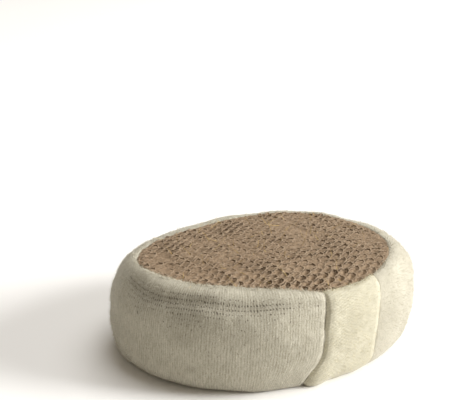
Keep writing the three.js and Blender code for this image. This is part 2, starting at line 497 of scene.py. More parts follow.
# %% Seams, crease and nap
def angle_at(x):
    """The angle on the front of the oval whose x is given."""
    fine = np.linspace(np.pi, 2 * np.pi, 4001)
    return np.interp(x, oval(fine)[:, 0], fine)


def seam_sweep(height):
    """How far the left seam strays: left on the side, right at the lip and far left near the foot."""
    return (-1.2 + 2.9 * smooth(height, 26 * MM, 42 * MM) - 6.6 * smooth(-height, -19 * MM, 0)) * MM


def right_sweep(height):
    """How far the right seam strays: right at the shoulder, so that it stays in one upright plane."""
    return 3.6 * MM * smooth(height, 22 * MM, 40 * MM)


def band_angles(count):
    """Angles [row, column] from the panel's right seam round the back to its left seam."""
    start, end = angle_at(PANEL_RIGHT - SEAM_TUCK), angle_at(PANEL_LEFT + SEAM_TUCK) + 2 * np.pi
    even = np.linspace(start, end, count)
    at_left = angle_at(PANEL_LEFT + seam_sweep(profile[:, 1])) - angle_at(PANEL_LEFT)
    at_right = angle_at(PANEL_RIGHT + right_sweep(profile[:, 1])) - angle_at(PANEL_RIGHT)
    return (even[None, :] + at_left[:, None] * smooth(even, end - 0.55, end)
            + at_right[:, None] * (1 - smooth(even, start, start + 0.4)))


def crease_place(angle):
    """How far below the lip's roll the crease lies, along the cloth."""
    return (9.2 + 1.4 * np.cos(angle - 3.4)) * MM


def crease_share(angle):
    """How marked the crease is: full on the front left, faint elsewhere."""
    turn = np.mod(angle, 2 * np.pi)
    return smooth(turn, 2.9, 3.5) * (1 - smooth(turn, 4.72, 4.85)) * (2.0 - 1.05 * smooth(turn, 3.9, 4.4))


def pinholes(below, crease, share):
    """How many of the cloth's holes stand open: three loose rows at the crease, and fewer below."""
    return share * (bump(below, crease, 2.6 * MM) + 0.25 * bump(below, crease + 5 * MM, 5 * MM))


def nap_of(outer, angle, below):
    """How densely short fibres stand on the cloth: none underneath, more along the lip, most in front."""
    at_lip = (2.9 + 1.1 * np.cos(angle - 4.3)) * bump(below, 2.3 * MM, 1.3 * MM)
    return smooth(outer[..., 2], 1.2 * MM, 4 * MM) * (1 + at_lip)


def roll_share(below):
    """How far the cloth rolls into the left seam: fully on the side, and little at the lip."""
    return 1 - 0.75 * smooth(-below, -6 * MM, -1 * MM)


print("crease at the left end:", round(float(crease_place(math.pi)) / MM, 1), "mm below the lip's roll")

# %% Band
def make_band():
    around = float(np.linalg.norm(np.diff(oval(ALL_ROUND), axis=0), axis=1).sum())
    length = around - (PANEL_RIGHT - PANEL_LEFT)
    columns = int(round(length / WALE)) * 2 + 1
    angle = band_angles(columns)
    inset = np.repeat(profile[:, :1], columns, axis=1)
    height = np.repeat(profile[:, 1:], columns, axis=1)
    u = np.linspace(0, length, columns)[None, :] + 0 * inset
    v = profile_length[:, None] + 0 * inset
    scallop = SCALLOP * np.sin(2 * np.pi * u / STITCH + 2 * slack(u, 0 * u, 25 * MM, 4))
    inset = inset + scallop * smooth(v, TOP_LENGTH - 5 * MM, TOP_LENGTH)
    smooth_face = place(angle, inset, height)
    normal = normals_of(smooth_face)
    below = TOP_LENGTH - v
    share = crease_share(angle)
    crease = crease_place(angle) + 0.7 * MM * slack(u, 0 * u, 30 * MM, 9)
    rib = np.where(np.arange(columns) % 2 == 0, 1.0, -1.0)[None, :]
    fade = smooth(v, 0, 6 * MM) * (0.55 + 0.45 * slack(u, v, 9 * MM, 23))
    fade *= 0.35 * smooth(below, 0.5 * MM, 4 * MM) + 0.65 * smooth(below, 5 * MM, 10 * MM)
    relief = RIB_HEIGHT * rib * fade
    relief += SLACK_HEIGHT * slack(u, v * 1.6, 28 * MM, 21) * smooth(v, 4 * MM, 14 * MM)
    relief += FINE_SLACK_HEIGHT * slack(u, v, 7 * MM, 22)
    relief += share * PUFF_HEIGHT * bump(below, crease - 4.5 * MM, 3.4 * MM)
    relief -= share * CREASE_DEPTH * bump(below, crease, CREASE_WIDTH)
    patchy = np.clip(0.85 + 0.4 * slack(u, 0 * u, 22 * MM, 33), 0.4, 1.2)
    holes = pinholes(below, crease, share * patchy)
    to_left_seam = u[:, -1:] - u
    relief -= LEFT_ROLL * (1 - smooth(to_left_seam, 0, 2.6 * MM)) ** 1.2 * roll_share(below)
    relief -= RIGHT_ROLL * (1 - smooth(u, 0, 2.0 * MM))
    outer = smooth_face + normal * relief[..., None]
    outer[..., 2] = np.maximum(outer[..., 2], LOWEST)
    # The end by the panel's right seam, where the key light falls full, gets fainter flecks of painted shade.
    key_lit_end = 1 - smooth(u, 70 * MM, 130 * MM)
    marks = np.stack([holes, below - crease, key_lit_end], -1)
    cloth = np.stack([u, v, 0 * u], -1)
    piece = strip("terry_band", outer, CLOTH_THICKNESS, 4, band_terry,
                  {"cloth": cloth, "marks": marks, "nap": nap_of(outer, angle, below)})
    return piece, length


terry_band, band_length = make_band()
print("terry_band:", triangles_of(terry_band), "triangles,", round(band_length / MM), "mm long")

# %% [markdown]
# ## The joining panel
# A short strip across the side, of a warmer terry whose rows run on the slant. It could be cut from the same
# strip as the band with a second material, but it is a piece of its own on the real thing, and stands a
# little proud of the band. It is sewn over the band's right end, which leaves a low ridge, and into the
# band's left end, which leaves a deep groove. At the foot the groove swings left and the panel bulges.

# %% Panel
ROW_HEIGHT = 0.07 * MM
PANEL_PROUD = 0.5 * MM         # how far the panel stands out of the band
GROOVE_DEPTH = 1.1 * MM        # how deep its left edge rolls into the seam
RIDGE_DROP = 0.42 * MM         # how far its right edge falls to the band
BULGE = 1.1 * MM               # the slack near the foot, beside the groove


def make_panel():
    width = PANEL_RIGHT - PANEL_LEFT
    columns = int(round(width / (0.32 * MM))) + 1
    line, line_length = section_line(0.42 * MM)
    sweep = seam_sweep(line[:, 1])
    left = angle_at(PANEL_LEFT + sweep)
    right = angle_at(PANEL_RIGHT + right_sweep(line[:, 1]))
    share = np.linspace(0, 1, columns)
    angle = left[:, None] + (right - left)[:, None] * share[None, :]
    inset = np.repeat(line[:, :1], columns, axis=1)
    height = np.repeat(line[:, 1:], columns, axis=1)
    u = share[None, :] * width + 0 * inset
    v = line_length[:, None] + 0 * inset
    below = line_length[-1] - v
    smooth_face = place(angle, inset, height)
    normal = normals_of(smooth_face)
    slanted = (u * 0.5 + v * 0.87) / PANEL_ROW + 0.35 * slack(u, v, 8 * MM, 41)
    fade = smooth(u, 1 * MM, 4 * MM) * (1 - smooth(u, width * 0.5, width * 0.85)) * 0.8 + 0.2
    relief = ROW_HEIGHT * np.sin(2 * np.pi * slanted) * fade
    relief += 0.10 * MM * slack(u, v, 5 * MM, 42) + 0.30 * MM * slack(u, v, 16 * MM, 43)
    relief += PANEL_PROUD * smooth(u, 0, 3.5 * MM)
    relief -= GROOVE_DEPTH * (1 - smooth(u, 0, 1.4 * MM)) ** 1.4 * roll_share(below)
    relief -= RIDGE_DROP * (1 - smooth(width - u, 0, 2.6 * MM)) ** 1.3
    relief += BULGE * bump(v, 13 * MM, 5 * MM) * bump(u, 4.5 * MM, 4 * MM)
    outer = smooth_face + normal * relief[..., None]
    outer[..., 2] = np.maximum(outer[..., 2], LOWEST)
    cloth = np.stack([u, v, 0 * u], -1)
    # The panel's right part, where the key light falls full, gets fainter flecks of painted shade.
    marks = np.stack([0 * u, 0 * u, smooth(u, 7 * MM, 14 * MM)], -1)
    return strip("joining_panel_terry", outer, CLOTH_THICKNESS, 4, panel_terry,
                 {"cloth": cloth, "marks": marks, "nap": nap_of(outer, angle, below)}), width


panel, panel_width = make_panel()
print("joining_panel_terry:", triangles_of(panel), "triangles,", round(panel_width / MM, 1), "mm wide")

# %% [markdown]
# ## The pad and the panel underneath
# The foam pad fills the cover. It hardly shows, but it is what the cloth is stretched over. The panel
# underneath is a plain oval of the same terry, its edge tucked against the band's hem. Both could be turned
# from a section by a modifier, but rings of the same oval formula keep them in line with the cover.

# %% Solids from rings
def turned_piece(name, rings, material, attributes=None):
    """A closed solid from rings of points, the first and the last of which shrink to a point."""
    count = rings.shape[1]
    points = np.concatenate([rings.reshape(-1, 3), rings[[0, -1]].mean(axis=1)])
    south, north = len(points) - 2, len(points) - 1
    after = (np.arange(count) + 1) % count
    faces = []
    for i in range(len(rings) - 1):
        a, b = i * count + np.arange(count), i * count + after
        faces += np.stack([a, b, b + count, a + count], -1).tolist()
    last = (len(rings) - 1) * count
    faces += np.stack([np.full(count, south), after, np.arange(count)], -1).tolist()
    faces += np.stack([np.full(count, north), last + np.arange(count), last + after], -1).tolist()
    full = {key: np.concatenate([values.reshape(-1, values.shape[-1]), values[[0, -1]].mean(axis=1)])
            for key, values in (attributes or {}).items()}
    full = {key: values[:, 0] if values.shape[1] == 1 else values for key, values in full.items()}
    return new_piece(name, points, faces, material, full)


def shrunk(ring, shares, heights):
    """Copies of a ring that shrink towards its middle, at the given heights."""
    middle = ring.mean(axis=0)
    rings = middle + (ring - middle) * np.array(shares)[:, None, None]
    rings[..., 2] = np.array(heights).reshape(len(shares), -1)
    return rings


# %% Foam pad and back panel
def foam_finish():
    """Open-cell foam: fine even cells, pale and quite matt, with painted shade in the middle of each cell."""
    material, tree, shader = finish_of("cream_open_cell_foam", {"Roughness": 0.95})
    place_in = add(tree, "ShaderNodeTexCoord").outputs["Object"]
    cells = add(tree, "ShaderNodeTexVoronoi", {"Vector": place_in, "Scale": 1 / (0.9 * MM)})
    # Darker in each cell's middle: painted shade in the open cells.
    shade = add(tree, "ShaderNodeMapRange", [cells.outputs["Distance"], 0.1, 0.7, 1.0, 0.0])
    colour = add(tree, "ShaderNodeMix", {
        "Factor": shade, "A": linear("#e9e1c6"), "B": linear("#b3a988")}, data_type="RGBA")
    feed(tree, shader, {"Base Color": colour})
    return material


def make_foam():
    angle = np.linspace(0, 2 * np.pi, 97)[:-1]
    depth = cover_depth + 0.6 * MM
    quarter = np.linspace(0, np.pi / 2, 9)
    rings = []
    for t in quarter:
        rings.append((FOOT_INSET - (FOOT_INSET - depth) * np.sin(t),
                      FOOT_RISE - (FOOT_RISE - depth) * np.cos(t)))
    for t in quarter:
        rings.append((LIP_INSET - (LIP_INSET - depth) * np.cos(t),
                      LIP_HEIGHT - SHOULDER_RISE + (SHOULDER_RISE - depth) * np.sin(t)))
    side = np.stack([place(angle, np.full(96, i), np.full(96, z)) for i, z in rings])
    shares = [0.2, 0.5, 0.8]
    under = shrunk(side[0], shares, [depth] * 3)
    out = np.array(shares[::-1])[:, None]
    over = shrunk(side[-1], shares[::-1], LIP_HEIGHT - depth - 0.5 * MM + CROWN * (1 - out**2)
                  + lip_stray(angle)[1] * out**2)
    return turned_piece("foam_pad", np.concatenate([under, side, over]), foam_finish())


def make_back():
    angle = np.linspace(0, 2 * np.pi, 241)[:-1]
    edge = place(angle, np.full(240, HEM_INSET + 0.3 * MM), np.full(240, 0.6 * MM))
    shares = [0.1, 0.3, 0.5, 0.7, 0.85, 0.95]
    under = shrunk(edge, shares + [0.985], [0.05 * MM] * 6 + [0.12 * MM])
    over = shrunk(edge, [0.985] + shares[::-1], [1.3 * MM] * 7)
    rings = np.concatenate([under, edge[None], over])
    cloth = rings * np.array([1, 1, 0])
    return turned_piece("back_panel_terry", rings, band_terry, {"cloth": cloth, "marks": 0 * cloth})


foam_pad = make_foam()
back_panel = make_back()
print("foam_pad:", triangles_of(foam_pad), "triangles; back_panel_terry:", triangles_of(back_panel))

# %% [markdown]
# ## Sisal yarn
# Sisal is a stiff leaf fibre. Its yarn is two coarse plies twisted together, straw to brown, with stray
# fibres. The colour could be one flat brown with noise in space, but real streaks run along the plies, so
# the pattern follows the yarn's own length and girth, and the groove where the plies meet is darker with
# painted shade.

# %% Sisal finishes
def sisal_finish():
    """Twisted sisal: dull, a little waxy, with streaks about 3.5 mm long."""
    material, tree, shader = finish_of("two_ply_sisal_yarn", {
        "Roughness": 0.75, "Specular IOR Level": 0.3, "Sheen Weight": 0.15})
    along = add(tree, "ShaderNodeAttribute", attribute_name="along").outputs["Fac"]
    around = add(tree, "ShaderNodeAttribute", attribute_name="around").outputs["Fac"]
    place_in = add(tree, "ShaderNodeTexCoord").outputs["Object"]
    lengthwise = add(tree, "ShaderNodeMath", [along, 1 / (3.5 * MM)], operation="MULTIPLY")
    crosswise = add(tree, "ShaderNodeMath", [around, 9.0], operation="MULTIPLY")
    grain = add(tree, "ShaderNodeCombineXYZ", [lengthwise, crosswise])
    streaks = add(tree, "ShaderNodeTexNoise", {"Vector": grain, "Scale": 1.0, "Detail": 4.0})
    patches = add(tree, "ShaderNodeTexNoise", {"Vector": place_in, "Scale": 1 / (9 * MM)})
    tones = [add(tree, "ShaderNodeMapRange", [streaks, 0.3, 0.7, 0.0, 0.7]),
             add(tree, "ShaderNodeMapRange", [patches, 0.35, 0.65, 0.0, 0.3])]
    tone = add(tree, "ShaderNodeMath", tones, operation="ADD")
    yarn = add(tree, "ShaderNodeMix", {
        "Factor": tone, "A": linear("#87725a"), "B": linear("#9a866c")}, data_type="RGBA")
    # Darker at the waist of the section, where the two plies meet: painted shade in the groove between them.
    turn = add(tree, "ShaderNodeMath", [around, 2 * math.pi], operation="MULTIPLY")
    swell = add(tree, "ShaderNodeMath", [turn], operation="COSINE")
    ply = add(tree, "ShaderNodeMath", [swell], operation="ABSOLUTE")
    on_ply = add(tree, "ShaderNodeMapRange", [ply, 0.0, 0.5, 0.0, 1.0])
    colour = add(tree, "ShaderNodeMix", {
        "Factor": on_ply, "A": linear("#88725a"), "B": yarn}, data_type="RGBA")
    height = add(tree, "ShaderNodeMath", [streaks, ply], operation="ADD")
    bumps = add(tree, "ShaderNodeBump", {"Height": height, "Strength": 0.5, "Distance": 0.1 * MM})
    feed(tree, shader, {"Base Color": colour, "Normal": bumps})
    return material


def ground_finish():
    """The backs of the loops, so close that they close the cloth. Painted light and shade: lighter on each
    back, darker between, and darker still in the hollows.
    """
    material, tree, shader = finish_of("sisal_loop_backs", {"Roughness": 0.9})
    place_in = add(tree, "ShaderNodeTexCoord").outputs["Object"]
    # Each loop back is painted lighter on its top and darker at its sides: painted light and shade.
    backs = add(tree, "ShaderNodeTexVoronoi", {"Vector": place_in, "Scale": 1 / (1.4 * MM)})
    shade = add(tree, "ShaderNodeMapRange", [backs.outputs["Distance"], 0.1, 0.7, 1.0, 0.0])
    cloth = add(tree, "ShaderNodeMix", {
        "Factor": shade, "A": linear("#836e56"), "B": linear("#947f66")}, data_type="RGBA")
    pit = add(tree, "ShaderNodeAttribute", attribute_name="pit").outputs["Fac"]
    # Deeper hollows are painted darker: painted shade.
    deep = add(tree, "ShaderNodeMapRange", [pit, 0.2 * MM, 1.3 * MM, 0.0, 0.7])
    colour = add(tree, "ShaderNodeMix", {
        "Factor": deep, "A": cloth, "B": linear("#7c6345")}, data_type="RGBA")
    fuzz = add(tree, "ShaderNodeTexNoise", {"Vector": place_in, "Scale": 1 / (0.5 * MM), "Detail": 4.0})
    height = add(tree, "ShaderNodeMath", [shade, fuzz], operation="ADD")
    bumps = add(tree, "ShaderNodeBump", {"Height": height, "Strength": 0.4, "Distance": 0.3 * MM})
    feed(tree, shader, {"Base Color": colour, "Normal": bumps})
    return material


def fibre_finish(name, pale, deep):
    """Single stray fibres, each a little different."""
    material, tree, shader = finish_of(name, {"Roughness": 0.7, "Specular IOR Level": 0.3})
    place_in = add(tree, "ShaderNodeTexCoord").outputs["Object"]
    patches = add(tree, "ShaderNodeTexNoise", {"Vector": place_in, "Scale": 1 / (2 * MM), "Detail": 1.0})
    tone = add(tree, "ShaderNodeMapRange", [patches, 0.35, 0.65, 0.0, 1.0])
    colour = add(tree, "ShaderNodeMix", {
        "Factor": tone, "A": linear(deep), "B": linear(pale)}, data_type="RGBA")
    feed(tree, shader, {"Base Color": colour})
    return material


sisal_yarn = sisal_finish()
sisal_ground = ground_finish()
sisal_fibre = fibre_finish("loose_sisal_fibre", "#ae9b7f", "#917b62")
golden_fibre = fibre_finish("stray_golden_sisal_fibre", "#d9bf7c", "#b99852")
cotton_fibre = fibre_finish("loose_cotton_fibre", "#dad4c3", "#c1bba9")
warm_fibre = fibre_finish("warm_cotton_fibre", "#e2dabf", "#cfc7a9")
print("finishes:", [m.name for m in bpy.data.materials])

# %% [markdown]
# ## Growing things on a surface
# The hollows, the loops and the loose fibres all repeat over a surface. Python loops could place each one,
# but Geometry Nodes do it faster and keep the sizes as named inputs of one tree. A tree runs on a copy of
# its surface, and what it makes is kept as a plain mesh.

# %% Geometry Nodes helpers
def new_tree(name, inputs):
    """An empty tree with named inputs, given as {name: (socket kind, default)}, and its two ends."""
    tree = bpy.data.node_groups.new(name, "GeometryNodeTree")
    tree.is_modifier = True
    tree.interface.new_socket("Geometry", in_out="INPUT", socket_type="NodeSocketGeometry")
    for key, (kind, default) in inputs.items():
        socket = tree.interface.new_socket(key, in_out="INPUT", socket_type=f"NodeSocket{kind}")
        if default is not None:
            socket.default_value = default
    tree.interface.new_socket("Geometry", in_out="OUTPUT", socket_type="NodeSocketGeometry")
    return tree, tree.nodes.new("NodeGroupInput"), tree.nodes.new("NodeGroupOutput")


def grow(name, surface, tree, settings):
    """Runs a tree on a copy of a surface and keeps the result as a plain mesh."""
    start = bpy.data.objects.new(name + "_start", surface.data)
    bpy.context.scene.collection.objects.link(start)
    modifier = start.modifiers.new("grow", "NODES")
    modifier.node_group = tree
    sockets = {s.name: s.identifier for s in tree.interface.items_tree if s.in_out == "INPUT"}
    for key, value in settings.items():
        modifier[sockets[key]] = value
    bpy.context.view_layer.update()
    evaluated = start.evaluated_get(bpy.context.evaluated_depsgraph_get())
    mesh = bpy.data.meshes.new_from_object(evaluated, preserve_all_data_layers=True,
                                           depsgraph=bpy.context.evaluated_depsgraph_get())
    bpy.data.objects.remove(start)
    mesh.name = name
    piece = bpy.data.objects.new(name, mesh)
    bpy.context.scene.collection.objects.link(piece)
    return piece


def end_tree(tree, geometry, material, result):
    """The end of every tree: real geometry, with its material."""
    real = add(tree, "GeometryNodeRealizeInstances", [geometry])
    finished = add(tree, "GeometryNodeSetMaterial", {"Geometry": real, "Material": material})
    feed(tree, result, [finished])


def wobble(tree, position, size, seed, stray):
    """A soft random vector field around zero, so that neighbours stray together."""
    field = add(tree, "ShaderNodeTexNoise", {
        "Vector": position, "W": seed, "Scale": 1 / size, "Detail": 1.0}, noise_dimensions="4D")
    centred = add(tree, "ShaderNodeVectorMath", [
        field.outputs["Color"], (0.5, 0.5, 0.5)], operation="SUBTRACT")
    return add(tree, "ShaderNodeVectorMath", {0: centred, "Scale": stray}, operation="SCALE")


def stray_of(tree, at, unevenness, seed):
    """How far the hand-guided loops lie from their lattice: each one a little, and whole patches together."""
    patch_seed = add(tree, "ShaderNodeMath", [seed, 5.0], operation="ADD")
    patch_stray = add(tree, "ShaderNodeMath", [unevenness, 1.6], operation="MULTIPLY")
    each = wobble(tree, at, 2.6 * MM, seed, unevenness)
    patch = wobble(tree, at, 11 * MM, patch_seed, patch_stray)
    return add(tree, "ShaderNodeVectorMath", [each, patch], operation="ADD")


print("trees so far:", len(bpy.data.node_groups))

# %% [markdown]
# ## The ground of the knit
# A low crowned plate under the loops, which stands for their backs. The loops could lie on bare foam, but
# real ones lie so close that their backs close the cloth. Geometry Nodes press a hollow into the plate
# inside each loop, on the knit's own lattice; the loops lie open along the front and close up behind.
# The plate's edge dips under the lip, where the knit is sewn in. Its number "sink" takes the outermost
# loops down with it, and keeps the loops from falling into the hollows.

# %% Hollows tree
FACE_REACH = 1.035          # the knit runs on under the lip by this share of its half-width
YARN_TOP_TO_GROUND = 0.68 * MM
LATTICE = {"Course pitch": 5.3 * MM, "Wale pitch": 3.6 * MM, "Slant": -0.25, "Lean": 0.4,
           "Unevenness": 1.5 * MM, "Seed": 3.0}


def hollows_tree():
    """Presses a hollow into a surface at the middle of each loop of the knit's lattice."""
    numbers = ("Course pitch", "Wale pitch", "Slant", "Lean", "Unevenness", "Seed", "Middle", "Half length",
               "Half width", "Front", "Back", "Front turn", "Depth in front", "Depth behind")
    tree, given, result = new_tree("loop_hollows", {
        **{name: ("Float", 0.0) for name in numbers}, "Cloth": ("Material", None)})
    value = given.outputs

    def nearest(length, pitch):
        """The nearest whole number of pitches, as a length."""
        count = add(tree, "ShaderNodeMath", [length, pitch], operation="DIVIDE")
        whole = add(tree, "ShaderNodeMath", [count], operation="ROUND")
        return add(tree, "ShaderNodeMath", [whole, pitch], operation="MULTIPLY")

    # Each point is carried back to the even lattice, and measured from the middle of the nearest loop.
    position = add(tree, "GeometryNodeInputPosition")
    there = add(tree, "ShaderNodeSeparateXYZ", [position]).outputs
    flat = add(tree, "ShaderNodeCombineXYZ", [there["X"], there["Y"]])
    stray = stray_of(tree, flat, value["Unevenness"], value["Seed"])
    even = add(tree, "ShaderNodeVectorMath", [flat, stray], operation="SUBTRACT")
    at = add(tree, "ShaderNodeSeparateXYZ", [even]).outputs
    middle_y = add(tree, "ShaderNodeMath", [value["Lean"], value["Middle"]], operation="MULTIPLY")
    y = add(tree, "ShaderNodeMath", [at["Y"], middle_y], operation="SUBTRACT")
    wale = nearest(y, value["Wale pitch"])
    slant = add(tree, "ShaderNodeMath", [wale, value["Slant"]], operation="MULTIPLY")
    x = add(tree, "ShaderNodeMath", [at["X"], slant], operation="SUBTRACT")
    x = add(tree, "ShaderNodeMath", [x, value["Middle"]], operation="SUBTRACT")
    off_x = add(tree, "ShaderNodeMath", [x, nearest(x, value["Course pitch"])], operation="SUBTRACT")
    lean = add(tree, "ShaderNodeMath", [off_x, value["Lean"]], operation="MULTIPLY")
    off_y = add(tree, "ShaderNodeMath", [y, wale], operation="SUBTRACT")
    off_y = add(tree, "ShaderNodeMath", [off_y, lean], operation="SUBTRACT")
    squares = []
    for off, half in ((off_x, value["Half length"]), (off_y, value["Half width"])):
        share = add(tree, "ShaderNodeMath", [off, half], operation="DIVIDE")
        squares.append(add(tree, "ShaderNodeMath", [share, 2.0], operation="POWER"))
    away = add(tree, "ShaderNodeMath", squares, operation="ADD")
    falloff = add(tree, "ShaderNodeMapRange", [away, 0.15, 1.15, 1.0, 0.0])

    # The hollows are deepest in front, where "front" is turned a little, and only the plate's top has them.
    nearness = add(tree, "ShaderNodeMath", [
        there["X"], value["Front turn"], there["Y"]], operation="MULTIPLY_ADD")
    deepest = add(tree, "ShaderNodeMapRange", [
        nearness, value["Front"], value["Back"], value["Depth in front"], value["Depth behind"]])
    top, sink, pit = (add(tree, "GeometryNodeInputNamedAttribute", {"Name": name}, data_type="FLOAT")
                      for name in ("top", "sink", "pit"))
    depth = add(tree, "ShaderNodeMath", [falloff, deepest], operation="MULTIPLY")
    depth = add(tree, "ShaderNodeMath", [depth, top], operation="MULTIPLY")
    marked = add(tree, "GeometryNodeStoreNamedAttribute", {
        "Geometry": value["Geometry"], "Name": "pit", "Value": depth}, data_type="FLOAT", domain="POINT")
    less_sink = add(tree, "ShaderNodeMath", [sink, pit], operation="SUBTRACT")
    sunk = add(tree, "GeometryNodeStoreNamedAttribute", {
        "Geometry": marked, "Name": "sink", "Value": less_sink}, data_type="FLOAT", domain="POINT")
    down = add(tree, "ShaderNodeMath", [pit, -1.0], operation="MULTIPLY")
    offset = add(tree, "ShaderNodeCombineXYZ", [0.0, 0.0, down])
    pressed = add(tree, "GeometryNodeSetPosition", {"Geometry": sunk, "Offset": offset})
    end_tree(tree, pressed, value["Cloth"], result)
    return tree


hollows = hollows_tree()
print("hollows tree:", len(hollows.nodes), "nodes")

# %% Ground plate
def make_ground():
    columns = 600
    every = 20                  # the plate's underside keeps one ring in this many
    angle = np.linspace(0, 2 * np.pi, columns + 1)[:-1]
    lip = place(angle, np.full(columns, LIP_INSET), np.full(columns, LIP_HEIGHT))
    middle = lip.mean(axis=0)
    shares = np.append(np.linspace(0.02, 1.0, 100), FACE_REACH)
    top = middle + (lip - middle) * shares[:, None, None]
    crown = CROWN * (1 - np.minimum(shares, 1) ** 2)
    rise = (lip[:, 2] - LIP_HEIGHT)[None, :] * shares[:, None] ** 2 + crown[:, None]
    edge = 0.4 * MM * smooth(shares, 0.87, 0.95) - 1.4 * MM * smooth(shares, 0.985, 1.03)
    top[..., 2] = LIP_HEIGHT - YARN_TOP_TO_GROUND + rise + edge[:, None]
    under = top[::every].copy()
    under[..., 2] -= (1.9 * MM - np.maximum(-edge, 0)[::every])[:, None]
    rings = np.concatenate([under, top[::-1]])
    sink = np.concatenate([np.zeros(len(under)), (1.2 * MM * smooth(shares, 0.98, 1.01))[::-1]])
    is_top = np.concatenate([np.zeros(len(under)), np.ones(len(shares))])
    each = [np.repeat(values[:, None, None], columns, axis=1) for values in (sink, is_top)]
    plate = turned_piece("ground_plate", rings, sisal_ground, {"sink": each[0], "top": each[1]})
    pressed = grow("sisal_ground", plate, hollows, {
        **LATTICE, "Middle": 0.75 * MM, "Half length": 1.8 * MM, "Half width": 1.2 * MM,
        "Front": -38 * MM, "Back": -17 * MM, "Front turn": 0.22, "Depth in front": 1.35 * MM,
        "Depth behind": -0.3 * MM, "Cloth": sisal_ground})
    bpy.data.objects.remove(plate)
    return pressed


ground = make_ground()
print("sisal_ground:", triangles_of(ground), "triangles")

# %% [markdown]
# ## The knit
# The face shows the purl side of plain knitting: rows of round loop heads, each row caught in the next. A
# bump map could draw it, but the yarn is nearly a millimetre thick and the light rakes over it, so it is
# real. One course of knitting is one yarn, and its path is a short formula of the phase t, one turn to a
# stitch: the yarn swings to and fro by cos t, doubles back on itself by sin 2t, and rises over the
# neighbouring yarn and dives under it by cos 2t. Geometry Nodes lay out the courses, bend them by that
# formula, drop them on the ground plate with a ray, cut off what misses it, and sweep a twisted two-ply
# section along.

# %% Knit tree
STITCH_STEPS = 30     # points of the yarn's path to one stitch
RAY_START = 0.2       # rays start this high above the table and reach as far below it


